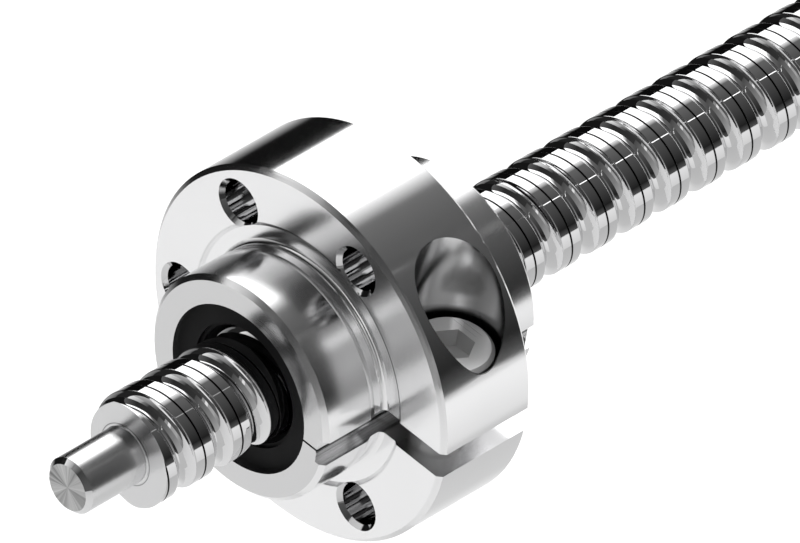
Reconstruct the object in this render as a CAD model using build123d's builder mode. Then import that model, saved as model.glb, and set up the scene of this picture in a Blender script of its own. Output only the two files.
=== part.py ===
from build123d import *
import os
from math import ceil, cos, floor, hypot, pi, radians, sin, sqrt

# Flanged ball screw nut on its screw, in millimetres.
# The screw's axis is Y, and Y points from the journal to the plain end of the screw.
# The origin is on that axis, in the flange's rear mounting face, with Z up.

# Ball track, shared by the screw and the nut
lead = 5.0
ball_diameter = 2.381
ball_circle_diameter = 12.0
track_radius = 1.33
track_centre_offset = 0.09
track_contact_angle = 45.0

# Screw
screw_diameter = 11.4
thread_front_y = -35.25
thread_rear_y = 63.0
thread_end_chamfer = 1.0
journal_diameter = 6.0
journal_length = 7.75
journal_chamfer = 0.5
journal_root_fillet = 0.4

# Nut body
flange_diameter = 40.0
flange_thickness = 12.0
body_diameter = 24.0
neck_length = 8.0
collar_length = 8.8
edge_chamfer = 0.5
nut_bore_diameter = 12.6

# Relief turned where the neck and the collar meet the flange
relief_width = 1.9
relief_depth = 0.35
relief_slope = 0.8
relief_face_depth = 0.3
relief_face_width = 2.0
relief_face_slope = 0.4
relief_corner_radius = 0.6

# Bolt holes in the flange, midway between the body and the rim
bolt_hole_diameter = 4.5
bolt_hole_chamfer = 0.45
bolt_hole_count = 5
bolt_hole_first_angle = 60.0
bolt_hole_last_angle = 300.0

# Preload slot, which lets the nut close a little on the balls
slot_angle = -10.0
slot_width = 2.9
slot_floor_depth = 1.13
slit_width = 0.25

# Preload screw, which crosses the slot square to it a little inside the bolt circle
preload_screw_inset = 2.4
preload_screw_y = -5.7
preload_seat_height = 3.0
preload_shank_diameter = 5.0
preload_shank_length = 12.0
preload_head_diameter = 8.5
preload_head_height = 5.0
preload_head_chamfer = 0.4
preload_socket_size = 4.0
preload_socket_depth = 2.5
preload_socket_angle = 0.0
preload_pocket_diameter = 9.5
preload_clearance = 0.25
preload_thread_clearance = 0.05
preload_hole_spare_depth = 0.6

# Lubrication port in the flange's rim, with its plug
port_angle = 210.0
port_y = -6.0
port_thread_diameter = 5.0
port_thread_depth = 7.0
port_channel_diameter = 2.4
plug_length = 5.0
plug_sunk = 0.6
plug_socket_size = 2.5
plug_socket_depth = 2.2
plug_chamfer = 0.4

# Wipers, pressed into a bore at each end of the nut
seal_bore_diameter = 18.0
wiper_sunk = 0.8
wiper_width = 2.2
wiper_lip_clearance = 0.15
wiper_lip_width = 0.7
wiper_step_diameter = 13.3
wiper_step_depth = 0.4
wiper_ring_radial = 0.35
wiper_ring_depth = 0.45

# Loose steel rings behind the wipers
backing_ring_width = 0.5
backing_ring_clearance = 0.05
backing_ring_bore_clearance = 0.4

# Ball circuits, each one turn long and closed by a deflector
deflector_diameter = 9.0
deflector_seat_radius = 9.4
deflector_chamfer = 0.3
return_half_angle = 38.0
return_run_out_share = 1.25
return_ball_clearance = 0.06
return_channel_clearance = 0.1
ball_spacing = 2.6
front_deflector_angle = 280.0
front_deflector_y = -8.95
circuit_turns_apart = 1.5

# Worked out from the sizes above
ball_radius = ball_diameter / 2
ball_circle_radius = ball_circle_diameter / 2
screw_radius = screw_diameter / 2
nut_bore_radius = nut_bore_diameter / 2
flange_radius = flange_diameter / 2
body_radius = body_diameter / 2
seal_bore_radius = seal_bore_diameter / 2
bolt_circle_radius = (body_radius + flange_radius) / 2
relief_face_radius = body_radius + relief_face_width
slot_floor_radius = body_radius - slot_floor_depth
preload_screw_offset = bolt_circle_radius - preload_screw_inset
nut_front_y = -flange_thickness - neck_length
nut_rear_y = collar_length
nut_length = nut_rear_y - nut_front_y
seal_bore_depth = wiper_sunk + wiper_width + backing_ring_width + 2 * backing_ring_clearance
rear_deflector_angle = front_deflector_angle - 360 * (circuit_turns_apart % 1)
rear_deflector_y = front_deflector_y + circuit_turns_apart * lead


def polar(radius, y, angle):
    """The point at this radius and angle round the screw's axis, with 0 at +X and 90 at +Z."""
    return Vector(radius * cos(radians(angle)), y, radius * sin(radians(angle)))


def across_axis(y):
    """The plane square to the screw's axis at y, with its normal along +Y."""
    return Plane(origin=(0, y, 0), x_dir=(1, 0, 0), z_dir=(0, 1, 0))


def radial_plane(radius, y, angle):
    """The plane that faces outward at this radius and angle, with its x along the screw's axis."""
    return Plane(origin=polar(radius, y, angle), x_dir=(0, 1, 0), z_dir=polar(1, 0, angle))


def land_y(angle):
    """Where the middle of a land lies at this angle: a right-hand thread moves on as the angle falls."""
    return front_deflector_y - lead * (angle - front_deflector_angle) / 360


def track_turn(side):
    """One turn of the ball track, as the solid that is cut from one side of the balls.

    Its section is a gothic arch that opens to the screw (side -1) or to the nut (side 1).
    """
    helix = Helix(
        pitch=lead,
        height=lead,
        radius=ball_circle_radius,
        center=(0, track_start_y, 0),
        direction=(0, 1, 0),
    )
    shift = track_centre_offset * sin(radians(track_contact_angle))
    apex = sqrt(track_radius**2 - shift**2) - shift
    mouth = track_radius - shift
    middle_y = mouth * sin(radians(track_contact_angle))
    middle_x = sqrt(track_radius**2 - (middle_y + shift) ** 2) - shift
    outward = polar(side, 0, track_start_angle)
    with BuildPart() as turn:
        with BuildSketch(Plane(origin=helix @ 0, x_dir=outward, z_dir=helix % 0)):
            with BuildLine():
                ThreePointArc((apex, 0), (middle_x, middle_y), (-shift, mouth))
                Line((-shift, mouth), (-shift, -mouth))
                ThreePointArc((-shift, -mouth), (middle_x, -middle_y), (apex, 0))
            make_face()
        sweep(path=helix, is_frenet=True)
    return turn.part


def track_places(first_y, last_y):
    """Where the turns of a ball track go, for it to run out past first_y and last_y."""
    first = floor((first_y - track_radius - track_start_y) / lead)
    last = ceil((last_y + track_radius - track_start_y) / lead)
    return [Location((0, lead * turn, 0)) for turn in range(first, last)]


def return_point(deflector_angle, deflector_y, share):
    """A ball's centre over the deflector: it leaves the track at share -1 and is back on it at 1."""
    angle = return_half_angle * share
    crossing = max(-1.0, min(1.0, share))
    lifted = screw_radius + ball_radius + return_ball_clearance
    rise = (lifted - ball_circle_radius) * max(0.0, 1 - share**4)
    y = lead / 2 * sin(crossing * pi / 2) - lead * angle / 360
    return polar(ball_circle_radius + rise, deflector_y + y, deflector_angle + angle)


def return_channel(deflector_angle, deflector_y):
    """The solid that a ball and its clearance sweep as they pass over the land."""
    steps = 12
    shares = [return_run_out_share * (2 * step / steps - 1) for step in range(steps + 1)]
    points = [return_point(deflector_angle, deflector_y, share) for share in shares]
    with BuildPart() as channel:
        with BuildLine() as route:
            Spline(points)
        with BuildSketch(Plane(origin=route.line @ 0, z_dir=route.line % 0)):
            Circle(ball_radius + return_channel_clearance)
        sweep()
    return channel.part


def circuit_points(deflector_angle, deflector_y):
    """The centres of the balls in one circuit, evenly spaced along its closed route."""
    steps = 720
    turn = 360 - 2 * return_half_angle
    first_angle = deflector_angle + return_half_angle
    first_y = deflector_y + lead / 2 - lead * return_half_angle / 360
    route = []
    for step in range(steps):
        angle = turn * step / steps
        route.append(polar(ball_circle_radius, first_y - lead * angle / 360, first_angle + angle))
    for step in range(steps + 1):
        route.append(return_point(deflector_angle, deflector_y, 2 * step / steps - 1))
    distance = [0.0]
    for before, after in zip(route, route[1:]):
        distance.append(distance[-1] + (after - before).length)
    count = int(distance[-1] / ball_spacing)
    points = []
    for ball in range(count):
        place = distance[-1] * ball / count
        nearest = min(range(len(route)), key=lambda index: abs(distance[index] - place))
        points.append(route[nearest])
    return points


def root_relief(face_y, away):
    """Corner points of the relief beside a flange face, from the body to the face.

    away is the direction along Y from the flange to the body: -1 at the neck, 1 at the collar.
    """
    floor_radius = body_radius - relief_depth
    return [
        (body_radius, face_y + away * relief_width),
        (floor_radius, face_y + away * (relief_width - relief_slope)),
        (floor_radius, face_y - away * relief_face_depth),
        (relief_face_radius - relief_face_slope, face_y - away * relief_face_depth),
        (relief_face_radius, face_y),
    ]


# One turn of track starts above the axis, in the middle of the groove there
track_start_angle = 90.0
track_start_y = land_y(track_start_angle) + lead / 2
screw_track_turn = track_turn(-1)
nut_track_turn = track_turn(1)

# Planes of the preload slot: its x points outward in the slot and its z across the slot
slot_outward = polar(1, 0, slot_angle)
slot_across = polar(1, 0, slot_angle + 90)
slot_end = Plane(origin=(0, 0, 0), x_dir=slot_outward, z_dir=(0, 1, 0))
preload_axis = Plane(
    origin=slot_outward * preload_screw_offset + Vector(0, preload_screw_y, 0),
    x_dir=slot_outward,
    z_dir=slot_across,
)
preload_seat = preload_axis.offset(preload_seat_height)
port_seat = radial_plane(flange_radius, port_y, port_angle)

# Angle and y of the middle of each deflector
circuits = {
    "front": (front_deflector_angle, front_deflector_y),
    "rear": (rear_deflector_angle, rear_deflector_y),
}
channels = {name: return_channel(*place) for name, place in circuits.items()}

os.makedirs("parts", exist_ok=True)

# Nut body: one turned piece with neck, flange and collar, slotted on one side
neck_relief = root_relief(-flange_thickness, -1)
collar_relief = root_relief(0, 1)
with BuildPart() as nut_body:
    with BuildSketch() as half_section:
        with BuildLine():
            Polyline(
                (nut_bore_radius, nut_front_y + seal_bore_depth),
                (seal_bore_radius, nut_front_y + seal_bore_depth),
                (seal_bore_radius, nut_front_y),
                (body_radius - edge_chamfer, nut_front_y),
                (body_radius, nut_front_y + edge_chamfer),
                *neck_relief,
                (flange_radius - edge_chamfer, -flange_thickness),
                (flange_radius, -flange_thickness + edge_chamfer),
                (flange_radius, -edge_chamfer),
                (flange_radius - edge_chamfer, 0),
                *reversed(collar_relief),
                (body_radius, nut_rear_y - edge_chamfer),
                (body_radius - edge_chamfer, nut_rear_y),
                (seal_bore_radius, nut_rear_y),
                (seal_bore_radius, nut_rear_y - seal_bore_depth),
                (nut_bore_radius, nut_rear_y - seal_bore_depth),
                close=True,
            )
        make_face()
        relief_corners = [
            corner
            for corner in half_section.vertices()
            if any(hypot(corner.X - x, corner.Y - y) < 0.01 for x, y in (neck_relief[2], collar_relief[2]))
        ]
        fillet(relief_corners, radius=relief_corner_radius)
    revolve(axis=Axis.Y)

    # Ball track through the bore, then the deflector seat and channel ends of each circuit
    with Locations(*track_places(nut_front_y + seal_bore_depth, nut_rear_y - seal_bore_depth)):
        add(nut_track_turn, mode=Mode.SUBTRACT)
    for name, (angle, y) in circuits.items():
        with BuildSketch(radial_plane(0, y, angle)):
            Circle(deflector_diameter / 2)
        extrude(amount=deflector_seat_radius, mode=Mode.SUBTRACT)
        add(channels[name], mode=Mode.SUBTRACT)

    # Bolt holes, chamfered where they meet both faces of the flange
    bolt_places = PolarLocations(
        radius=bolt_circle_radius,
        count=bolt_hole_count,
        start_angle=bolt_hole_first_angle,
        angular_range=bolt_hole_last_angle - bolt_hole_first_angle,
        endpoint=True,
    )
    with BuildSketch(across_axis(-flange_thickness)):
        with bolt_places:
            Circle(bolt_hole_diameter / 2)
    extrude(amount=flange_thickness, mode=Mode.SUBTRACT)
    for face in (across_axis(0), -across_axis(-flange_thickness)):
        with BuildSketch(face):
            with bolt_places:
                Circle(bolt_hole_diameter / 2 + bolt_hole_chamfer)
        extrude(amount=-bolt_hole_chamfer, taper=45, mode=Mode.SUBTRACT)

    # Slot from the outside and hairline slit from its floor to the bore, from end to end
    slot_reach = flange_radius - slot_floor_radius + edge_chamfer
    with BuildSketch(slot_end.offset(nut_front_y)):
        with Locations((slot_floor_radius, 0)):
            Rectangle(slot_reach, slot_width, align=(Align.MIN, Align.CENTER))
        Rectangle(slot_floor_radius + slit_width, slit_width, align=(Align.MIN, Align.CENTER))
    extrude(amount=nut_length, mode=Mode.SUBTRACT)

    # Pocket, clearance hole and threaded hole of the preload screw
    with BuildSketch(preload_seat):
        Circle(preload_pocket_diameter / 2)
    extrude(amount=flange_radius, mode=Mode.SUBTRACT)
    with BuildSketch(preload_seat):
        Circle(preload_shank_diameter / 2 + preload_clearance)
    extrude(amount=-preload_seat_height, mode=Mode.SUBTRACT)
    with BuildSketch(preload_axis):
        Circle(preload_shank_diameter / 2 + preload_thread_clearance)
    extrude(
        amount=preload_seat_height - preload_shank_length - preload_hole_spare_depth,
        mode=Mode.SUBTRACT,
    )

    # Lubrication port from the rim to the ball track
    with BuildSketch(port_seat):
        Circle(port_thread_diameter / 2)
    extrude(amount=-port_thread_depth, mode=Mode.SUBTRACT)
    with BuildSketch(port_seat):
        Circle(port_channel_diameter / 2)
    extrude(amount=-(flange_radius - ball_circle_radius), mode=Mode.SUBTRACT)
nut_body.part.label = "nut_body"
export_step(nut_body.part, "parts/nut_body.step")

# Deflectors: pressed plugs whose channel lifts the balls over a land and back one lead
for name, (angle, y) in circuits.items():
    with BuildPart() as deflector:
        with BuildSketch(radial_plane(deflector_seat_radius, y, angle)):
            Circle(deflector_diameter / 2)
        extrude(amount=-deflector_seat_radius)
        outer_face = deflector.faces().sort_by(Axis((0, 0, 0), polar(1, 0, angle)))[-1]
        chamfer(outer_face.edges(), length=deflector_chamfer)
        with BuildSketch(across_axis(y - deflector_diameter)):
            Circle(nut_bore_radius)
        extrude(amount=2 * deflector_diameter, mode=Mode.SUBTRACT)
        add(channels[name], mode=Mode.SUBTRACT)
    deflector.part.label = f"{name}_deflector"
    export_step(deflector.part, f"parts/{name}_deflector.step")

# Balls: one closed row to each circuit
for name, (angle, y) in circuits.items():
    with BuildPart() as balls:
        with Locations(*circuit_points(angle, y)):
            Sphere(ball_radius)
    balls.part.label = f"{name}_balls"
    export_step(balls.part, f"parts/{name}_balls.step")

# Wipers: dark rings whose stepped mouth narrows to a lip close over the screw
lip_radius = screw_radius + wiper_lip_clearance
step_radius = wiper_step_diameter / 2
wiper_front_y = nut_front_y + wiper_sunk
with BuildPart() as front_wiper:
    with BuildSketch():
        with BuildLine():
            Polyline(
                (seal_bore_radius, wiper_front_y),
                (seal_bore_radius, wiper_front_y + wiper_width),
                (lip_radius, wiper_front_y + wiper_width),
                (lip_radius, wiper_front_y + wiper_width - wiper_lip_width),
                (step_radius - wiper_ring_radial, wiper_front_y + wiper_step_depth + wiper_ring_depth),
                (step_radius - wiper_ring_radial, wiper_front_y + wiper_step_depth),
                (step_radius, wiper_front_y + wiper_step_depth),
                (step_radius, wiper_front_y),
                close=True,
            )
        make_face()
    revolve(axis=Axis.Y)
front_wiper.part.label = "front_wiper"
export_step(front_wiper.part, "parts/front_wiper.step")

middle_plane = across_axis((nut_front_y + nut_rear_y) / 2)
with BuildPart() as rear_wiper:
    add(mirror(front_wiper.part, about=middle_plane, mode=Mode.PRIVATE))
rear_wiper.part.label = "rear_wiper"
export_step(rear_wiper.part, "parts/rear_wiper.step")

# Backing rings: loose washers that float between each wiper and the shoulder behind it
ring_front_y = wiper_front_y + wiper_width + backing_ring_clearance
with BuildPart() as front_backing_ring:
    with BuildSketch(across_axis(ring_front_y)):
        Circle(seal_bore_radius - backing_ring_clearance)
        Circle(screw_radius + backing_ring_bore_clearance, mode=Mode.SUBTRACT)
    extrude(amount=backing_ring_width)
front_backing_ring.part.label = "front_backing_ring"
export_step(front_backing_ring.part, "parts/front_backing_ring.step")

with BuildPart() as rear_backing_ring:
    add(mirror(front_backing_ring.part, about=middle_plane, mode=Mode.PRIVATE))
rear_backing_ring.part.label = "rear_backing_ring"
export_step(rear_backing_ring.part, "parts/rear_backing_ring.step")

# Preload screw: a socket head cap screw that draws the two sides of the slot together
socket_radius = preload_socket_size / sqrt(3)
with BuildPart() as preload_screw:
    with BuildSketch(preload_seat):
        Circle(preload_head_diameter / 2)
    extrude(amount=preload_head_height)
    head_top = preload_screw.faces().sort_by(Axis(preload_axis.origin, slot_across))[-1]
    chamfer(head_top.edges(), length=preload_head_chamfer)
    with BuildSketch(preload_seat):
        Circle(preload_shank_diameter / 2)
    extrude(amount=-preload_shank_length)
    with BuildSketch(preload_seat.offset(preload_head_height)):
        RegularPolygon(socket_radius, 6, rotation=preload_socket_angle)
    extrude(amount=-preload_socket_depth, mode=Mode.SUBTRACT)
preload_screw.part.label = "preload_screw"
export_step(preload_screw.part, "parts/preload_screw.step")

# Lubrication port plug: a short set screw sunk a little below the rim
with BuildPart() as lube_port_plug:
    with BuildSketch(port_seat.offset(-plug_sunk)):
        Circle(port_thread_diameter / 2)
    extrude(amount=-plug_length)
    chamfer(lube_port_plug.faces().sort_by(Axis((0, 0, 0), port_seat.z_dir))[0].edges(), length=plug_chamfer)
    with BuildSketch(port_seat.offset(-plug_sunk)):
        RegularPolygon(plug_socket_size / sqrt(3), 6)
    extrude(amount=-plug_socket_depth, mode=Mode.SUBTRACT)
lube_port_plug.part.label = "lube_port_plug"
export_step(lube_port_plug.part, "parts/lube_port_plug.step")

# Screw: the ball track runs out through both end faces of the thread
with BuildPart() as screw_shaft:
    with BuildSketch(across_axis(thread_front_y)):
        Circle(screw_radius)
    extrude(amount=thread_rear_y - thread_front_y)
    chamfer(screw_shaft.faces().sort_by(Axis.Y)[-1].edges(), length=thread_end_chamfer)
    with Locations(*track_places(thread_front_y, thread_rear_y)):
        add(screw_track_turn, mode=Mode.SUBTRACT)
    with BuildSketch():
        with BuildLine() as journal_line:
            Polyline(
                (0, thread_front_y),
                (0, thread_front_y - journal_length),
                (journal_diameter / 2 - journal_chamfer, thread_front_y - journal_length),
                (journal_diameter / 2, thread_front_y - journal_length + journal_chamfer),
                (journal_diameter / 2, thread_front_y - journal_root_fillet),
            )
            RadiusArc(
                (journal_diameter / 2, thread_front_y - journal_root_fillet),
                (journal_diameter / 2 + journal_root_fillet, thread_front_y),
                journal_root_fillet,
            )
            Line((journal_diameter / 2 + journal_root_fillet, thread_front_y), (0, thread_front_y))
        make_face()
    revolve(axis=Axis.Y)
screw_shaft.part.label = "screw_shaft"
export_step(screw_shaft.part, "parts/screw_shaft.step")
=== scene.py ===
import math

import bmesh
import bpy
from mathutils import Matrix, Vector


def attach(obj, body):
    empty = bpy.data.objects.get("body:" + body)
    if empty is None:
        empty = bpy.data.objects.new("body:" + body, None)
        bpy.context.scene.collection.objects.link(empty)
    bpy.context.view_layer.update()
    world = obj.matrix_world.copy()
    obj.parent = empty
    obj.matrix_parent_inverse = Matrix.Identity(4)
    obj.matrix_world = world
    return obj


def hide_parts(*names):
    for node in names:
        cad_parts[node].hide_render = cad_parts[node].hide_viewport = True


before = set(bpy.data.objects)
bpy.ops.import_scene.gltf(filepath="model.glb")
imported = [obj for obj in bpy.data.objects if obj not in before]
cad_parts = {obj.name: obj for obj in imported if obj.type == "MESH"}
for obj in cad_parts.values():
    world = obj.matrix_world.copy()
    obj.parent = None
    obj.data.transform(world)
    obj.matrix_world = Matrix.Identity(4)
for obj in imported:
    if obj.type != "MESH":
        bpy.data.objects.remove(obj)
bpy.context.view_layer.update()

# Nut body
# One turned steel piece with neck, round flange and rear collar, cut by the preload slot.
# It is ground and lightly polished, so its faces blur what they mirror a little.
# Shade is painted into its bolt holes, the preload screw's pocket, the slit's mouth and the relief's edge.
mm = 0.001
flange_radius = 20.0 * mm
flange_front = -12.0 * mm
rim_start = flange_radius - 0.2 * mm
neck_face = -20.0 * mm
bolt_circle = 16.0 * mm
bolt_reach = 2.9 * mm
half_bolt_step = math.radians(30.0)
relief_radius = 14.0 * mm
relief_line = 0.10 * mm
relief_left = (math.radians(105.0), math.radians(125.0))
relief_below = (math.radians(-20.0), math.radians(-10.0))
slot_turn = math.radians(-10.0)
slot_out = Vector((math.cos(slot_turn), 0.0, math.sin(slot_turn)))
slot_up = Vector((-math.sin(slot_turn), 0.0, math.cos(slot_turn)))
slot_floor = 10.87 * mm
slot_floor_middle = -0.77 * mm
slot_floor_half = 0.67 * mm
painted_slit_shadow_bottom = -0.36 * mm
wire_line = -0.80 * mm
wire_line_half = 0.05 * mm
preload_place = Vector((13.6 * mm, -5.7 * mm))
pocket_reach = 4.8 * mm
pocket_foot = 3.1 * mm
pocket_fade = (8.2 * mm, 8.7 * mm)
far_side_fade = (4.2 * mm, 4.7 * mm)
tool_marks = 9000.0
tool_mark_blur = 0.03
cloud_scale = 90.0
cloud_blur = 0.015
darkest = 3.0
darkest_tint = 0.22
full_polish = 0.22


class Nodes:
    """A node tree with short calls for adding nodes, joining them and doing sums."""

    def __init__(self, tree):
        self.tree = tree

    def add(self, kind, given=None, **settings):
        """A new node with its settings, and its inputs set or joined as given."""
        node = self.tree.nodes.new(kind)
        for key, value in settings.items():
            setattr(node, key, value)
        for key, value in (given or {}).items():
            self.put(node.inputs[key], value)
        return node

    def put(self, socket, value):
        """Gives an input its value, or joins it to another node's output."""
        if hasattr(value, "links"):
            self.tree.links.new(value, socket)
        else:
            socket.default_value = value

    def math(self, operation, *values):
        return self.add("ShaderNodeMath", dict(enumerate(values)), operation=operation).outputs[0]

    def plus(self, first, second):
        return self.math("ADD", first, second)

    def minus(self, first, second):
        return self.math("SUBTRACT", first, second)

    def times(self, first, second):
        return self.math("MULTIPLY", first, second)

    def larger(self, first, second):
        return self.math("MAXIMUM", first, second)

    def remap(self, value, low, high, new_low, new_high):
        given = {0: value, 1: low, 2: high, 3: new_low, 4: new_high}
        return self.add("ShaderNodeMapRange", given).outputs[0]


class Shader(Nodes):
    """A material with short calls for the patterns that the finishes share."""

    def __init__(self, name):
        self.material = bpy.data.materials.new(name)
        self.material.use_nodes = True
        super().__init__(self.material.node_tree)
        self.surface = self.tree.nodes["Principled BSDF"]
        self.place = self.add("ShaderNodeTexCoord").outputs["Object"]
        self.x, self.y, self.z = self.add("ShaderNodeSeparateXYZ", {0: self.place}).outputs

    def look(self, name, value):
        """Gives the surface one of its looks, as a value or as another node's output."""
        self.put(self.surface.inputs[name], value)

    def noise(self, scale, detail=2.0):
        """Soft clouds through the whole piece."""
        given = {"Scale": scale, "Detail": detail, "Vector": self.place}
        return self.add("ShaderNodeTexNoise", given).outputs["Fac"]

    def line_noise(self, value, scale):
        """Noise along one value only, for marks that follow a turned surface."""
        given = {"Scale": scale, "Detail": 3.0, "W": value}
        return self.add("ShaderNodeTexNoise", given, noise_dimensions="1D").outputs["Fac"]

    def bump(self, height, distance):
        node = self.add("ShaderNodeBump", {"Distance": distance, "Height": height})
        self.look("Normal", node.outputs["Normal"])

    def length(self, first, second):
        """The long side of a right-angled triangle with these two sides."""
        return self.math("SQRT", self.plus(self.times(first, first), self.times(second, second)))

    def near(self, value, middle, reach):
        """1 within reach of the middle and 0 beyond."""
        return self.math("LESS_THAN", self.math("ABSOLUTE", self.minus(value, middle)), reach)

    def radius(self):
        """The distance from the screw's axis."""
        return self.length(self.x, self.z)

    def facing_axis(self):
        """1 on faces square to the screw's axis and 0 on faces round it."""
        normal = self.add("ShaderNodeNewGeometry").outputs["Normal"]
        return self.math("ABSOLUTE", self.add("ShaderNodeSeparateXYZ", {0: normal}).outputs[1])


def turned_steel(name, colour, roughness, marks, regions=None):
    """Steel with faint marks of the turning tool: rings on the faces and round the barrel.

    regions gives two masks: how far it is polished, up to 1, and how much darker it is, up to darkest;
    painted shade goes in through the second.
    """
    finish = Shader(name)
    polished, darker = regions(finish) if regions else (0.0, 0.0)
    turns = finish.line_noise(finish.y, tool_marks)
    rings = finish.line_noise(finish.radius(), tool_marks)
    lines = finish.add("ShaderNodeMix", {0: finish.facing_axis(), 2: turns, 3: rings}).outputs[0]
    clouds = finish.noise(cloud_scale, 3.0)
    shade = finish.times(
        finish.remap(clouds, 0.3, 0.7, 0.97, 1.0),
        finish.remap(darker, 0.0, darkest, 1.0, darkest_tint),
    )
    tint = finish.add("ShaderNodeVectorMath", {0: colour, "Scale": shade}, operation="SCALE")
    uneven = finish.remap(clouds, 0.3, 0.7, roughness - cloud_blur, roughness + cloud_blur)
    rough = finish.plus(uneven, finish.times(lines, tool_mark_blur))
    finish.look("Metallic", 1.0)
    finish.look("Base Color", tint.outputs[0])
    finish.look("Roughness", finish.times(rough, finish.remap(polished, 0.0, 1.0, 1.0, full_polish)))
    finish.bump(lines, marks)
    return finish.material


def dress(node, material):
    """Gives a CAD node its finish."""
    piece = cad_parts[node]
    piece.data.materials.clear()
    piece.data.materials.append(material)


def pocket_shade(finish, outward, height):
    """Painted shade in the preload screw's pocket, darkest beside the head's top and on its far side."""
    along = finish.minus(finish.y, preload_place.y)
    distance = finish.length(finish.minus(outward, preload_place.x), along)
    in_round = finish.math("LESS_THAN", distance, pocket_reach)
    in_pocket = finish.times(in_round, finish.math("GREATER_THAN", height, pocket_foot))
    low = finish.remap(height, *pocket_fade, darkest, 0.0)
    far_side = finish.remap(along, *far_side_fade, 0.0, 0.8)
    return finish.times(in_pocket, finish.larger(low, far_side))


def floor_lines_and_slit_shadow(finish, outward, height):
    """Darkens the slot's floor with wire-cut lines, and over them paints the slit's shadow, low enough to be
    seen.
    """
    below_slit = finish.near(height, slot_floor_middle, slot_floor_half)
    on_floor = finish.times(finish.near(outward, slot_floor, 0.1 * mm), below_slit)
    fine_lines = finish.remap(finish.line_noise(height, 6000.0), 0.35, 0.65, 0.2, 1.7)
    # Painted shadow of the slit, in a band just below where the slit opens
    mouth = finish.times(finish.math("GREATER_THAN", height, painted_slit_shadow_bottom), darkest)
    line = finish.times(finish.near(height, wire_line, wire_line_half), 2.6)
    return finish.times(on_floor, finish.larger(fine_lines, finish.larger(mouth, line)))


def relief_shade(finish, radius, angle):
    """Painted shade: the dark line where the relief ends in the flange's front. It fades at the left and
    below.
    """
    on_front = finish.near(finish.y, flange_front - 0.1 * mm, 0.3 * mm)
    edge = finish.times(finish.near(radius, relief_radius, relief_line), on_front)
    towards_left = finish.remap(angle, *relief_left, darkest, 0.4)
    from_below = finish.remap(angle, *relief_below, 0.15, 1.0)
    return finish.times(finish.times(edge, towards_left), from_below)


def nut_regions(finish):
    """Polished: bolt holes and rim. Darker: the neck's end, wire-cut lines, and painted shade in holes, slot
    and relief edge.
    """
    radius = finish.radius()
    angle = finish.math("ARCTAN2", finish.z, finish.x)
    facing = finish.facing_axis()
    wall = finish.math("LESS_THAN", facing, 0.9)
    face = finish.math("GREATER_THAN", facing, 0.95)

    # The slot takes one of the six places on the bolt circle, so five have a hole
    from_place = finish.math("WRAP", angle, half_bolt_step, -half_bolt_step)
    outwards = finish.minus(finish.times(radius, finish.math("COSINE", from_place)), bolt_circle)
    sideways = finish.times(radius, finish.math("SINE", from_place))
    near_bolt = finish.math("LESS_THAN", finish.length(outwards, sideways), bolt_reach)
    not_slot = finish.math("GREATER_THAN", finish.math("ABSOLUTE", angle), half_bolt_step)
    # Painted shade darkens the bolt holes' walls, which are also polished
    hole = finish.times(near_bolt, finish.times(wall, not_slot))

    rim = finish.times(finish.math("GREATER_THAN", radius, rim_start), wall)
    neck_end = finish.times(face, finish.math("LESS_THAN", finish.y, neck_face + 0.1 * mm))
    outward = finish.plus(finish.times(finish.x, slot_out.x), finish.times(finish.z, slot_out.z))
    height = finish.plus(finish.times(finish.x, slot_up.x), finish.times(finish.z, slot_up.z))
    # Painted shade in the pocket, at the slit's mouth and at the relief's edge, with the slot floor's
    # wire-cut lines
    cut = finish.larger(pocket_shade(finish, outward, height), floor_lines_and_slit_shadow(finish, outward, height))
    painted_shade_and_lines = finish.larger(hole, finish.larger(relief_shade(finish, radius, angle), cut))
    return finish.larger(hole, finish.times(rim, 0.5)), finish.larger(neck_end, painted_shade_and_lines)


nut_finish = turned_steel("ground_nut_steel", (0.92, 0.92, 0.925), 0.165, 0.0004 * mm, nut_regions)
dress("nut_body", nut_finish)

# Deflectors
# Two hardened plugs pressed into the body, whose channels lift the balls over a land.
# They are sintered steel, a little darker and rougher than the body.
deflector_finish = turned_steel("sintered_deflector_steel", (0.50, 0.50, 0.51), 0.42, 0.002 * mm)
for node in ("front_deflector", "rear_deflector"):
    dress(node, deflector_finish)

# Balls
# Two closed rows of hardened and lapped steel balls between the tracks of nut and screw.
# They are polished like mirrors and carry a thin film of grease.
ball_finish = Shader("lapped_ball_steel")
ball_finish.look("Metallic", 1.0)
ball_finish.look("Base Color", (0.80, 0.80, 0.81, 1.0))
ball_finish.look("Roughness", ball_finish.remap(ball_finish.noise(900.0), 0.3, 0.7, 0.03, 0.09))
for node in ("front_balls", "rear_balls"):
    dress(node, ball_finish.material)

# Wipers
# Moulded rings of black plastic pressed into both mouths of the nut, close round the screw.
# Their faces are matt, with the fine grain of the mould.
wiper_finish = Shader("matt_black_plastic")
wiper_clouds = wiper_finish.noise(350.0)
wiper_ramp = wiper_finish.add("ShaderNodeValToRGB", {0: wiper_clouds})
wiper_ramp.color_ramp.elements[0].color = (0.0075, 0.0075, 0.008, 1.0)
wiper_ramp.color_ramp.elements[1].color = (0.0105, 0.0105, 0.011, 1.0)
wiper_finish.look("Base Color", wiper_ramp.outputs[0])
wiper_finish.look("Roughness", wiper_finish.remap(wiper_clouds, 0.3, 0.7, 0.50, 0.60))
wiper_finish.look("Specular IOR Level", 0.08)
wiper_finish.bump(wiper_finish.noise(6000.0), 0.004 * mm)
for node in ("front_wiper", "rear_wiper"):
    dress(node, wiper_finish.material)

# Backing rings
# Loose washers punched from steel strip, one behind each wiper.
# They are tumbled smooth and seen only through the gap round the screw.
ring_finish = turned_steel("tumbled_ring_steel", (0.62, 0.62, 0.63), 0.32, 0.001 * mm)
for node in ("front_backing_ring", "rear_backing_ring"):
    dress(node, ring_finish)
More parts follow.
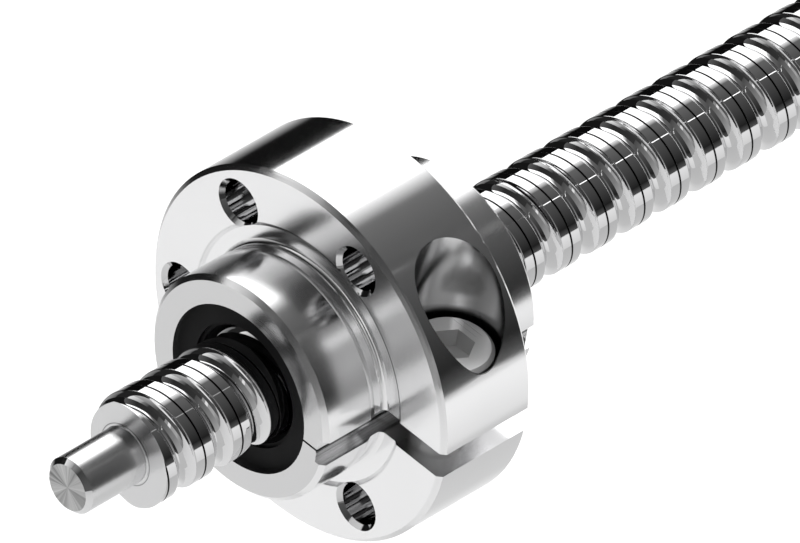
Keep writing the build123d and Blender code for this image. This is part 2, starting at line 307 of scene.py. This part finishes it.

# Ball screw
# A hardened rod with a ball track rolled into it, its lands polished bright, and a turned journal.
# A fine seam runs along the middle of each land, where the rolled metal met; its shallow notch is painted
# black as shade.
lead = 5.0 * mm
screw_radius = 5.7 * mm
ball_circle_radius = 6.0 * mm
track_radius = 1.33 * mm
track_centre_offset = 0.09 * mm
contact_angle = math.radians(45.0)
track_shift = track_centre_offset * math.sin(contact_angle)
track_start = -2.5611 * mm
lead_angle = math.atan(lead / (2 * math.pi * ball_circle_radius))
rise_to_land = ball_circle_radius + track_shift - screw_radius
mouth_half = (math.sqrt(track_radius**2 - rise_to_land**2) - track_shift) / math.cos(lead_angle)
seam_half = 0.115 * mm
seam_blur = 0.005 * mm
half_columns = 22
land_support = 0.03 * mm
turns_before = 8
thread_turns = 23
thread_front = -35.25 * mm
thread_rear = 63.0 * mm
rear_chamfer = 1.0 * mm
journal_radius = 3.0 * mm
journal_tip = -43.0 * mm
journal_chamfer = 0.5 * mm
journal_fillet = 0.05 * mm
journal_count = 96
fillet_steps = 4
screw_crease = math.radians(28.0)
tip_middle = 0.05 * mm
texture_reach = 10.0 * mm
weld = 0.002 * mm
flat = 0.001 * mm


class Growth(Nodes):
    """A geometry node tree that works on a grid one metre square, with a named input for each size."""

    def __init__(self, name, sizes):
        super().__init__(bpy.data.node_groups.new(name, "GeometryNodeTree"))
        sockets = self.tree.interface
        sockets.new_socket("Geometry", in_out="OUTPUT", socket_type="NodeSocketGeometry")
        self.identifiers = {}
        for label, size in sizes.items():
            socket = sockets.new_socket(label, in_out="INPUT", socket_type="NodeSocketFloat")
            socket.default_value = size
            self.identifiers[label] = socket.identifier
        sockets.new_socket("Material", in_out="INPUT", socket_type="NodeSocketMaterial")
        self.given = self.add("NodeGroupInput").outputs
        self.result = self.add("NodeGroupOutput").inputs[0]
        place = self.add("GeometryNodeInputPosition").outputs[0]
        self.grid_x, self.grid_y = self.add("ShaderNodeSeparateXYZ", {0: place}).outputs[:2]

    def steps(self, value, stops):
        """Follows straight runs through the stops, which are pairs of a value and what it gives."""
        total = stops[0][1]
        for (low, before), (high, after) in zip(stops, stops[1:]):
            share = self.remap(value, low, high, 0.0, 1.0)
            total = self.plus(total, self.times(share, self.minus(after, before)))
        return total

    def wrap(self, sheet, turn, radius, y):
        """Bends a grid round the Y axis, closes its seam, makes its instances real and gives it the material
        input. Bends a grid round the Y axis, closes its seam and ends the tree the way that the export
        needs.
        """
        spot = self.add("ShaderNodeCombineXYZ", {
            0: self.times(self.math("COSINE", turn), radius),
            1: y,
            2: self.times(self.math("SINE", turn), radius),
        })
        bent = self.add("GeometryNodeSetPosition", {"Geometry": sheet, "Position": spot.outputs[0]})
        closed = self.add("GeometryNodeMergeByDistance", {"Geometry": bent.outputs[0], "Distance": weld})
        real = self.add("GeometryNodeRealizeInstances", {0: closed.outputs[0]})
        coat = {0: real.outputs[0], "Material": self.given["Material"]}
        coated = self.add("GeometryNodeSetMaterial", coat)
        self.put(self.result, coated.outputs[0])

    def wind(self, across, radius, divisions):
        """Winds a grid into a thread: across is the offset along Y in one lead and radius goes with it."""
        rows = self.plus(self.times(self.given["Turns"], self.given["Facets in a turn"]), 1.0)
        sizes = {0: 1.0, 1: 1.0, "Vertices X": rows, "Vertices Y": divisions + 1}
        grid = self.add("GeometryNodeMeshGrid", sizes)
        turned = self.times(self.plus(self.grid_x, 0.5), self.given["Turns"])
        advance = self.plus(self.times(turned, self.given["Lead"]), self.given["Start"])
        beside = self.math("ABSOLUTE", across)
        kept = self.add(
            "GeometryNodeStoreNamedAttribute",
            {"Geometry": grid.outputs["Mesh"], "Name": "across", "Value": beside},
            data_type="FLOAT", domain="POINT",
        )
        self.wrap(kept.outputs[0], self.times(turned, -2 * math.pi), radius, self.plus(advance, across))


def grown(growth, name, settings):
    """The plain mesh that a tree makes, with its inputs set by their identifiers."""
    seed = bpy.data.objects.new(name + "_seed", bpy.data.meshes.new(name + "_seed"))
    bpy.context.scene.collection.objects.link(seed)
    modifier = seed.modifiers.new(name, "NODES")
    modifier.node_group = growth.tree
    for label, value in settings.items():
        modifier[growth.identifiers[label]] = value
    seed.update_tag()
    bpy.context.view_layer.update()
    evaluated = seed.evaluated_get(bpy.context.evaluated_depsgraph_get())
    mesh = bpy.data.meshes.new_from_object(evaluated)
    mesh.name = name
    bpy.data.objects.remove(seed)
    return mesh


def cut_across(form, cuts):
    """Cuts a thread square to its axis. A cut has a place, an outward side and whether that side goes."""
    for y, outwards, clear in cuts:
        bmesh.ops.bisect_plane(
            form, geom=form.verts[:] + form.edges[:] + form.faces[:], dist=0.0005 * mm,
            plane_co=(0, y, 0), plane_no=(0, outwards, 0), clear_outer=clear,
        )


def turn_down(form, reach):
    """Turns a thread down to the radius that reach gives for each place along its axis."""
    for vert in form.verts:
        limit = reach(vert.co.y)
        here = math.hypot(vert.co.x, vert.co.z)
        if here > limit:
            vert.co.x *= limit / here
            vert.co.z *= limit / here


def open_edges(form, y):
    """The free edges that lie square to the axis at y."""
    free = [edge for edge in form.edges if edge.is_boundary]
    return [edge for edge in free if all(abs(vert.co.y - y) < flat for vert in edge.verts)]


def filled(form, edges):
    """Closes a flat outline and gives the new faces."""
    parts = bmesh.ops.triangle_fill(form, use_beauty=True, edges=edges)["geom"]
    return [part for part in parts if isinstance(part, bmesh.types.BMFace)]


def ring(form, radius, y, count):
    """A closed ring of points round the axis."""
    turns = [2 * math.pi * i / count for i in range(count)]
    return [form.verts.new((radius * math.cos(turn), y, radius * math.sin(turn))) for turn in turns]


def skin(form, first, second):
    """Quads between two rings of the same count."""
    faces = []
    for i in range(len(first)):
        j = (i + 1) % len(first)
        faces.append(form.faces.new((first[i], first[j], second[j], second[i])))
    return faces


ball_track = Growth("rolled_ball_track", {
    "Lead": lead,
    "Turns": float(thread_turns),
    "Start": track_start - turns_before * lead,
    "Facets in a turn": 72.0,
    "Screw radius": screw_radius,
    "Ball circle radius": ball_circle_radius,
    "Track radius": track_radius,
    "Track shift": track_shift,
    "Mouth half width": mouth_half,
    "Edge round": 0.09 * mm,
    "Edge drop": 0.035 * mm,
    "Seam half width": seam_half,
    "Seam depth": 0.05 * mm,
})
crest = ball_track.given["Screw radius"]
mouth = ball_track.given["Mouth half width"]
track = ball_track.given["Track radius"]
shift = ball_track.given["Track shift"]
edge_drop = ball_track.given["Edge drop"]
half_lead = ball_track.times(ball_track.given["Lead"], 0.5)
land_edge = ball_track.plus(mouth, ball_track.given["Edge round"])
seam_edge = ball_track.minus(half_lead, ball_track.given["Seam half width"])
seam_floor = ball_track.minus(half_lead, ball_track.times(ball_track.given["Seam half width"], 0.5))

# The grid's columns run from the groove's middle to the land's middle on both sides
signed = ball_track.times(ball_track.grid_y, 2.0)
share = ball_track.math("ABSOLUTE", signed)
offset = ball_track.steps(share, [
    (0.0, 0.0),
    (12 / half_columns, ball_track.times(mouth, 0.93)),
    (15 / half_columns, mouth),
    (17 / half_columns, land_edge),
    (18 / half_columns, ball_track.plus(land_edge, land_support)),
    (19 / half_columns, ball_track.minus(seam_edge, land_support)),
    (20 / half_columns, seam_edge),
    (21 / half_columns, seam_floor),
    (1.0, half_lead),
])
square_offset = ball_track.plus(ball_track.times(offset, math.cos(lead_angle)), shift)
inside = ball_track.minus(ball_track.times(track, track), ball_track.times(square_offset, square_offset))
depth = ball_track.math("SQRT", ball_track.larger(inside, 0.0))
track_centre = ball_track.plus(ball_track.given["Ball circle radius"], shift)
groove = ball_track.minus(track_centre, depth)
land = ball_track.steps(share, [
    (15 / half_columns, ball_track.minus(crest, edge_drop)),
    (16 / half_columns, ball_track.minus(crest, ball_track.times(edge_drop, 0.3))),
    (17 / half_columns, crest),
    (20 / half_columns, crest),
    (21 / half_columns, ball_track.minus(crest, ball_track.given["Seam depth"])),
])
in_groove = ball_track.math("LESS_THAN", share, 14.5 / half_columns)
lower = ball_track.math("MINIMUM", groove, land)
chosen = ball_track.add("GeometryNodeSwitch", {0: in_groove, 1: land, 2: lower}, input_type="FLOAT")
across = ball_track.times(offset, ball_track.math("SIGN", signed))
ball_track.wind(across, chosen.outputs[0], 2 * half_columns)

thread_mesh = grown(ball_track, "ball_screw_thread", {})
screw = bmesh.new()
screw.from_mesh(thread_mesh)
chamfer_start = thread_rear - rear_chamfer
cut_across(screw, ((thread_front, -1, True), (thread_rear, 1, True), (chamfer_start, 1, False)))
turn_down(screw, lambda y: screw_radius - max(0.0, y - chamfer_start))

profile = [(journal_radius + journal_fillet, thread_front)]
for step in range(1, fillet_steps + 1):
    turn = math.pi / 2 * step / fillet_steps
    profile.append((
        journal_radius + journal_fillet * (1 - math.sin(turn)),
        thread_front - journal_fillet * (1 - math.cos(turn)),
    ))
profile += [
    (journal_radius, journal_tip + journal_chamfer),
    (journal_radius - journal_chamfer, journal_tip),
    (tip_middle, journal_tip),
]
rear_faces = filled(screw, open_edges(screw, thread_rear))
rings = [ring(screw, radius, y, journal_count) for radius, y in profile]
journal_bands = [skin(screw, before, after) for before, after in zip(rings, rings[1:])]
tip_faces = journal_bands[-1] + [screw.faces.new(rings[-1])]
front_faces = filled(screw, open_edges(screw, thread_front))
bmesh.ops.recalc_face_normals(screw, faces=screw.faces[:])

# The thread and the journal's chamfer keep the first finish, which is polished
barrel_faces = [face for band in journal_bands[:-2] for face in band]
for face in screw.faces:
    face.smooth = True
for place, faces in ((1, rear_faces + barrel_faces), (2, tip_faces), (3, front_faces)):
    for face in faces:
        face.material_index = place

# The tip's texture runs round its centre, so that the brushed steel there shines in a fan of streaks
uv_layer = screw.loops.layers.uv.new("turning")
for face in screw.faces:
    corners = [(loop.vert.co.x, loop.vert.co.z) for loop in face.loops]
    middle = math.atan2(sum(z for x, z in corners), sum(x for x, z in corners))
    for loop, (x, z) in zip(face.loops, corners):
        turn = (math.atan2(z, x) - middle + math.pi) % (2 * math.pi) - math.pi
        loop[uv_layer].uv = ((middle + turn) / (2 * math.pi) + 0.5, math.hypot(x, z) / texture_reach)

screw_finish = Shader("polished_screw_steel")
across_land = screw_finish.add("ShaderNodeAttribute", attribute_name="across").outputs["Fac"]
beside_seam = screw_finish.minus(lead / 2, across_land)
# The seam's notch is painted near black as its shade, and made rougher
seam = screw_finish.remap(beside_seam, seam_half - seam_blur, seam_half + seam_blur, 1.0, 0.0)
steel_and_seam_shade = {0: seam, 6: (0.76, 0.76, 0.765, 1.0), 7: (0.003, 0.003, 0.003, 1.0)}
screw_colour = screw_finish.add("ShaderNodeMix", steel_and_seam_shade, data_type="RGBA")
polish = screw_finish.remap(screw_finish.noise(260.0, 3.0), 0.35, 0.65, 0.022, 0.042)
screw_finish.look("Metallic", 1.0)
screw_finish.look("Base Color", screw_colour.outputs[2])
screw_finish.look("Roughness", screw_finish.plus(polish, screw_finish.times(seam, 0.4)))
screw_finish.bump(screw_finish.line_noise(screw_finish.y, 5200.0), 0.00005 * mm)

journal_finish = turned_steel("turned_journal_steel", (0.88, 0.88, 0.885), 0.23, 0.0004 * mm)

tip_finish = Shader("turned_tip_steel")
fan_angle = tip_finish.math("ARCTAN2", tip_finish.z, tip_finish.x)
# Painted sheen: eight lighter and darker sectors round the tip's centre, over streaks of grey that differ at
# random
sheen_wave = tip_finish.math("SINE", tip_finish.times(fan_angle, 4.0))
painted_sheen = tip_finish.remap(sheen_wave, -1.0, 1.0, -0.09, 0.09)
fine_fan = tip_finish.remap(tip_finish.line_noise(fan_angle, 5.0), 0.3, 0.7, 0.34, 0.58)
grain_and_painted_sheen = tip_finish.plus(painted_sheen, fine_fan)
tip_colour = tip_finish.add("ShaderNodeCombineXYZ", {0: grain_and_painted_sheen, 1: grain_and_painted_sheen, 2: grain_and_painted_sheen})
round_tip = tip_finish.add("ShaderNodeTangent", direction_type="UV_MAP", uv_map="turning")
tip_finish.look("Metallic", 1.0)
tip_finish.look("Base Color", tip_colour.outputs[0])
tip_finish.look("Roughness", 0.34)
tip_finish.look("Anisotropic", 0.85)
tip_finish.look("Tangent", round_tip.outputs[0])
tip_finish.bump(tip_finish.line_noise(tip_finish.radius(), 7000.0), 0.0006 * mm)


def end_face_regions(finish):
    """A fine dark line painted round the journal's root."""
    return 0.0, finish.times(finish.near(finish.radius(), journal_radius + 0.3 * mm, 0.06 * mm), 2.0)


end_face_finish = turned_steel("faced_end_steel", (0.70, 0.70, 0.705), 0.20, 0.0004 * mm, end_face_regions)
thread_mesh.materials.clear()
for material in (screw_finish.material, journal_finish, tip_finish.material, end_face_finish):
    thread_mesh.materials.append(material)
screw.to_mesh(thread_mesh)
screw.free()
thread_mesh.set_sharp_from_angle(angle=screw_crease)
ball_screw = bpy.data.objects.new("ball_screw", thread_mesh)
bpy.context.scene.collection.objects.link(ball_screw)
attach(ball_screw, "screw")
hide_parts("screw_shaft")

# Preload screw
# An M5 socket head cap screw that draws the two sides of the slot together.
# It is bright steel, with a forged and knurled head and a rolled thread.
fastener_radius = 2.5 * mm
fastener_root = 2.05 * mm
fastener_pitch = 0.8 * mm
fastener_columns = 8
fastener_crease = math.radians(25.0)
head_radius = 4.25 * mm
head_height = 5.0 * mm
head_chamfer = 0.4 * mm
head_knurls = 48.0
knurl_depth = 0.12 * mm
knurl_columns = 4.0
side_rows = 6
head_socket_width = 4.0 * mm
head_socket_depth = 2.1 * mm
shank_length = 12.0 * mm
shank_chamfer = 0.45 * mm
shank_overlap = 0.05 * mm
seat_height = 3.01 * mm

fastener_thread = Growth("rolled_fastener_thread", {
    "Lead": fastener_pitch,
    "Turns": 1.0,
    "Start": 0.0,
    "Facets in a turn": 32.0,
    "Crest radius": fastener_radius,
    "Root radius": fastener_root,
})
share = fastener_thread.math("ABSOLUTE", fastener_thread.times(fastener_thread.grid_y, 2.0))
flank = fastener_thread.steps(share, [
    (0.25, fastener_thread.given["Root radius"]),
    (0.75, fastener_thread.given["Crest radius"]),
])
across = fastener_thread.times(fastener_thread.grid_y, fastener_thread.given["Lead"])
fastener_thread.wind(across, flank, fastener_columns)

knurled_side = Growth("knurled_side", {
    "Radius": head_radius,
    "Height": head_height,
    "Knurls": head_knurls,
    "Depth": knurl_depth,
})
columns = knurled_side.plus(knurled_side.times(knurled_side.given["Knurls"], knurl_columns), 1.0)
sheet_size = {0: 1.0, 1: 1.0, "Vertices X": columns, "Vertices Y": side_rows}
sheet = knurled_side.add("GeometryNodeMeshGrid", sheet_size)
turn = knurled_side.times(knurled_side.plus(knurled_side.grid_x, 0.5), 2 * math.pi)
up = knurled_side.plus(knurled_side.grid_y, 0.5)
band = knurled_side.steps(up, [(0.0, 0.0), (0.2, 0.0), (0.21, 1.0), (0.79, 1.0), (0.8, 0.0), (1.0, 0.0)])
ripple = knurled_side.math("COSINE", knurled_side.times(turn, knurled_side.given["Knurls"]))
wave = knurled_side.plus(knurled_side.times(ripple, 0.5), 0.5)
carved = knurled_side.times(knurled_side.times(wave, band), knurled_side.given["Depth"])
side_radius = knurled_side.minus(knurled_side.given["Radius"], carved)
side_height = knurled_side.times(up, knurled_side.given["Height"])
knurled_side.wrap(sheet.outputs["Mesh"], turn, side_radius, side_height)


def threaded_rod(bottom, top, chamfer):
    """A closed length of fastener thread along Y, with its lower end chamfered."""
    turns = math.ceil((top - bottom) / fastener_pitch) + 2
    thread = {"Turns": float(turns), "Start": bottom - fastener_pitch}
    rod = bmesh.new()
    rod.from_mesh(grown(fastener_thread, "fastener_thread", thread))
    cut_across(rod, ((bottom, -1, True), (top, 1, True), (bottom + chamfer, -1, False)))
    turn_down(rod, lambda y: fastener_radius - max(0.0, bottom + chamfer - y))
    return rod


def socketed(form, rim_edges, across_flats, top, depth):
    """Closes a round top with a flat that has a hexagon socket, whose floor is a shallow cone."""
    corner = across_flats / math.sqrt(3)
    cone_depth = 0.25 * corner
    mouth = ring(form, corner, top, 6)
    floor = ring(form, corner, top - depth, 6)
    outline = [form.edges.new((mouth[i], mouth[(i + 1) % 6])) for i in range(6)]
    filled(form, rim_edges + outline)
    walls = skin(form, mouth, floor)
    point = form.verts.new((0, top - depth - cone_depth, 0))
    base = [form.faces.new((floor[i], floor[(i + 1) % 6], point)) for i in range(6)]
    for face in walls + base:
        face.material_index = 1


def placed(form, name, centre, side, axis, materials):
    """Turns a piece made along Y to its own axis and makes it an object in the shared frame."""
    bmesh.ops.recalc_face_normals(form, faces=form.faces[:])
    cross = side.cross(axis)
    for vert in form.verts:
        vert.co = centre + side * vert.co.x + axis * vert.co.y + cross * vert.co.z
    for face in form.faces:
        face.smooth = True
    mesh = bpy.data.meshes.new(name)
    for material in materials:
        mesh.materials.append(material)
    form.to_mesh(mesh)
    form.free()
    mesh.set_sharp_from_angle(angle=fastener_crease)
    piece = bpy.data.objects.new(name, mesh)
    bpy.context.scene.collection.objects.link(piece)
    return piece


def join(first, second):
    """Adds the second mesh to the first."""
    carried = bpy.data.meshes.new("carried")
    second.to_mesh(carried)
    second.free()
    first.from_mesh(carried)
    bpy.data.meshes.remove(carried)


def turn_of(vert):
    """The angle of a point round its piece's axis, from nothing to a full turn."""
    return math.atan2(vert.co.z, vert.co.x) % (2 * math.pi)


fastener_finish = turned_steel("bright_fastener_steel", (0.93, 0.93, 0.93), 0.26, 0.0008 * mm)
# The sockets are painted darker than the head's top, as shade in the recess.
shaded_socket_finish = turned_steel("forged_socket_steel", (0.74, 0.74, 0.74), 0.36, 0.001 * mm)
fastener_finishes = (fastener_finish, shaded_socket_finish)
for bright in fastener_finishes:
    bright.node_tree.nodes["Principled BSDF"].inputs["Metallic"].default_value = 0.72

head = bmesh.new()
head.from_mesh(grown(knurled_side, "preload_head", {}))
outer_rim = sorted({vert for edge in open_edges(head, head_height) for vert in edge.verts}, key=turn_of)
for vert in outer_rim:
    vert.co.y = head_height - head_chamfer
inner_rim = ring(head, head_radius - head_chamfer, head_height, len(outer_rim))
skin(head, outer_rim, inner_rim)
socketed(head, open_edges(head, head_height), head_socket_width, head_height, head_socket_depth)
filled(head, open_edges(head, 0.0))
shank = threaded_rod(-shank_length, shank_overlap, shank_chamfer)
for end in (shank_overlap, -shank_length):
    filled(shank, open_edges(shank, end))
join(head, shank)
seat = slot_out * preload_place.x + Vector((0.0, preload_place.y, 0.0)) + slot_up * seat_height
preload_cap_screw = placed(head, "preload_cap_screw", seat, slot_out, slot_up, fastener_finishes)
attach(preload_cap_screw, "preload_screw")
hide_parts("preload_screw")

# Lubrication port plug
# A short set screw with a hexagon socket, sunk a little below the rim.
# It closes the channel that feeds grease to the ball track.
plug_length = 5.0 * mm
plug_chamfer = 0.4 * mm
plug_sunk = 0.6 * mm
plug_socket_width = 2.5 * mm
plug_socket_depth = 2.0 * mm
port_along = -6.0 * mm
port_turn = math.radians(210.0)
port_out = Vector((math.cos(port_turn), 0.0, math.sin(port_turn)))
screw_axis = Vector((0.0, 1.0, 0.0))

plug = threaded_rod(-plug_length, 0.0, plug_chamfer)
filled(plug, open_edges(plug, -plug_length))
socketed(plug, open_edges(plug, 0.0), plug_socket_width, 0.0, plug_socket_depth)
plug_top = port_out * (flange_radius - plug_sunk) + screw_axis * port_along
port_set_screw = placed(plug, "port_set_screw", plug_top, screw_axis, port_out, fastener_finishes)
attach(port_set_screw, "nut")
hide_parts("lube_port_plug")

# Studio
# A pale floor well below the object, a white surround and a tent of soft lights and dark cards.
# The cards run along the screw and are seen only in the steel, as beside a photographer's table.
floor_height = -150.0 * mm
floor_reach = 4.0
tent_radius = 240.0 * mm
under_radius = 0.9 * abs(floor_height)
card_steps = 24
white = (1.0, 1.0, 1.0, 1.0)


def studio_paint(name):
    """A material with no surface yet, and its nodes."""
    material = bpy.data.materials.new(name)
    material.use_nodes = True
    material.node_tree.nodes.clear()
    return material, Nodes(material.node_tree)


def as_shown(nodes, lighting, shown, end):
    """Ends a tree with one look for the light it gives and another for what is seen, also in the steel."""
    path = nodes.add("ShaderNodeLightPath").outputs
    rays = nodes.larger(path["Is Camera Ray"], path["Is Glossy Ray"])
    rays = nodes.larger(rays, path["Is Transmission Ray"])
    choice = nodes.add("ShaderNodeMixShader", {0: rays, 1: lighting.outputs[0], 2: shown.outputs[0]})
    nodes.add(end, {0: choice.outputs[0]})


floor_mesh = bpy.data.meshes.new("studio_floor")
floor_mesh.from_pydata(
    [(-floor_reach, -floor_reach, floor_height), (floor_reach, -floor_reach, floor_height),
     (floor_reach, floor_reach, floor_height), (-floor_reach, floor_reach, floor_height)],
    [], [(0, 1, 2, 3)],
)
floor = bpy.data.objects.new("studio_floor", floor_mesh)
bpy.context.scene.collection.objects.link(floor)
floor_paint, floor_nodes = studio_paint("pale_floor")
floor_plain = floor_nodes.add("ShaderNodeBsdfDiffuse", {"Color": (0.80, 0.80, 0.80, 1.0)})
floor_soft = floor_nodes.add("ShaderNodeBsdfDiffuse", {"Color": (0.55, 0.55, 0.55, 1.0)})
camera_ray = floor_nodes.add("ShaderNodeLightPath").outputs["Is Camera Ray"]
floor_strength = floor_nodes.remap(camera_ray, 0.0, 1.0, 0.16, 0.55)
floor_glow = floor_nodes.add("ShaderNodeEmission", {"Strength": floor_strength})
floor_shown = floor_nodes.add("ShaderNodeAddShader", {0: floor_soft.outputs[0], 1: floor_glow.outputs[0]})
as_shown(floor_nodes, floor_plain, floor_shown, "ShaderNodeOutputMaterial")
floor_mesh.materials.append(floor_paint)

world = bpy.data.worlds.new("white_surround")
bpy.context.scene.world = world
world.use_nodes = True
world.node_tree.nodes.clear()
world_nodes = Nodes(world.node_tree)
world_light = world_nodes.add("ShaderNodeBackground", {"Color": white, "Strength": 0.55})
world_shown = world_nodes.add("ShaderNodeBackground", {"Color": white, "Strength": 1.0})
as_shown(world_nodes, world_light, world_shown, "ShaderNodeOutputWorld")


def card(name, first, last, start, end, radius, near_y, far_y):
    """A card bent round the screw's axis between two angles, whose light runs from start to end."""
    mesh = bpy.data.meshes.new(name)
    points, light = [], []
    for step in range(card_steps + 1):
        share = step / card_steps
        angle = math.radians(first + (last - first) * share)
        for y in (near_y, far_y):
            points.append((radius * math.cos(angle), y, radius * math.sin(angle)))
            light.append(start + (end - start) * share)
    faces = [(near, near + 1, near + 3, near + 2) for near in range(0, 2 * card_steps, 2)]
    mesh.from_pydata(points, [], faces)
    mesh.attributes.new("light", "FLOAT", "POINT").data.foreach_set("value", light)
    paint, nodes = studio_paint(name)
    strength = nodes.add("ShaderNodeAttribute", attribute_name="light").outputs["Fac"]
    emission = nodes.add("ShaderNodeEmission", {"Strength": strength})
    nodes.add("ShaderNodeOutputMaterial", {0: emission.outputs[0]})
    mesh.materials.append(paint)
    screen = bpy.data.objects.new(name, mesh)
    bpy.context.scene.collection.objects.link(screen)
    screen.visible_camera = False
    screen.visible_diffuse = False
    screen.visible_shadow = False


# Each card has its name, its first and last angle in degrees, its light at both, and its two ends
tent_cards = (
    ("side_skirt", -17.0, -3.0, 0.10, 0.014, 0.055, 0.60),
    ("dark_side_card", -3.0, 56.4, 0.02, 0.10, 0.055, 0.60),
    ("side_gap_light", 56.4, 58.1, 2.00, 2.00, 0.185, 0.60),
    ("side_gap", 56.4, 58.1, 0.10, 0.10, 0.14, 0.185),
    ("side_gap_faint", 56.4, 58.1, 0.45, 0.45, 0.055, 0.14),
    ("grey_side_card", 58.1, 88.0, 0.09, 0.16, 0.055, 0.60),
    ("softbox_edge", 88.0, 99.0, 0.16, 1.10, 0.055, 0.60),
    ("overhead_softbox", 99.0, 153.0, 1.80, 1.80, 0.055, 0.60),
    ("black_flag", 153.0, 186.0, 0.004, 0.004, 0.055, 0.60),
    ("left_fade", 186.0, 218.0, 0.02, 0.95, 0.055, 0.60),
    ("near_skirt", -17.0, 20.0, 0.45, 0.24, -0.13, 0.055),
    ("near_side", 20.0, 70.0, 0.26, 0.08, -0.13, 0.055),
    ("near_top", 70.0, 125.0, 0.04, 0.03, -0.13, 0.055),
    ("near_shoulder", 125.0, 153.0, 0.03, 0.12, -0.13, 0.055),
    ("near_flag", 153.0, 190.0, 0.01, 0.01, -0.13, 0.055),
    ("near_fade", 190.0, 218.0, 0.02, 0.85, -0.13, 0.055),
    ("front_skirt", -17.0, 10.0, 0.23, 0.42, -0.28, -0.13),
    ("front_side_low", 10.0, 35.0, 0.48, 0.40, -0.28, -0.13),
    ("front_side_strip", 35.0, 44.0, 0.95, 0.95, -0.28, -0.13),
    ("front_side_high", 44.0, 54.0, 0.36, 0.32, -0.28, -0.13),
    ("front_side_flag", 54.0, 100.0, 0.05, 0.04, -0.28, -0.13),
    ("front_top_edge", 100.0, 117.0, 0.05, 0.25, -0.28, -0.13),
    ("front_top", 117.0, 149.0, 0.40, 1.00, -0.28, -0.13),
    ("front_flag", 149.0, 174.0, 0.02, 0.02, -0.28, -0.13),
    ("front_fade", 174.0, 216.0, 0.12, 0.85, -0.28, -0.13),
    ("far_front_side", -17.0, 80.0, 0.12, 0.06, -0.80, -0.28),
    ("far_front_top", 80.0, 150.0, 0.08, 0.55, -0.80, -0.28),
    ("far_front_flag", 150.0, 190.0, 0.02, 0.02, -0.80, -0.28),
    ("far_front_fade", 190.0, 216.0, 0.02, 0.85, -0.80, -0.28),
)
for name, first, last, start, end, near_y, far_y in tent_cards:
    card(name, first, last, start, end, tent_radius, near_y, far_y)
card("under_card", -95.0, -46.0, 0.66, 0.60, under_radius, -0.02, 0.40)
card("under_card_left", -138.0, -95.0, 1.05, 0.66, under_radius, -0.02, 0.40)
card("under_side_card", -46.0, -17.5, 0.80, 0.98, under_radius, 0.05, 0.40)
card("near_under_card", -60.0, -17.5, 0.62, 0.62, under_radius, -0.06, 0.05)

key_data = bpy.data.lights.new("soft_key", "AREA")
key_data.shape = "RECTANGLE"
key_data.size = 0.6
key_data.size_y = 0.9
key_data.energy = 9.0
key = bpy.data.objects.new("soft_key", key_data)
bpy.context.scene.collection.objects.link(key)
key.location = Vector((-0.35, -0.25, 0.75))
key.rotation_mode = "QUATERNION"
key.rotation_quaternion = key.location.to_track_quat("Z", "Y")
key.visible_glossy = False

# Camera
# The photograph looks along the diagonal of a cube, from far away through a long lens.
# The point it looks at and the width of the frame were fitted to the photograph.
looking_from = Vector((1.0, -1.0, 1.0)).normalized()
aim = Vector((3.725, -1.705, 6.57)) * mm
frame_width = 77.15 * mm
camera_data = bpy.data.cameras.new("studio_camera")
camera_data.lens = 1150.0
camera_data.sensor_width = 36.0
camera_data.clip_start = 0.1
camera_data.clip_end = 20.0
distance = frame_width * camera_data.lens / camera_data.sensor_width
camera = bpy.data.objects.new("studio_camera", camera_data)
bpy.context.scene.collection.objects.link(camera)
camera.location = aim + looking_from * distance
camera.rotation_mode = "QUATERNION"
camera.rotation_quaternion = looking_from.to_track_quat("Z", "Y")
bpy.context.scene.camera = camera
bpy.context.scene.view_settings.view_transform = "Standard"
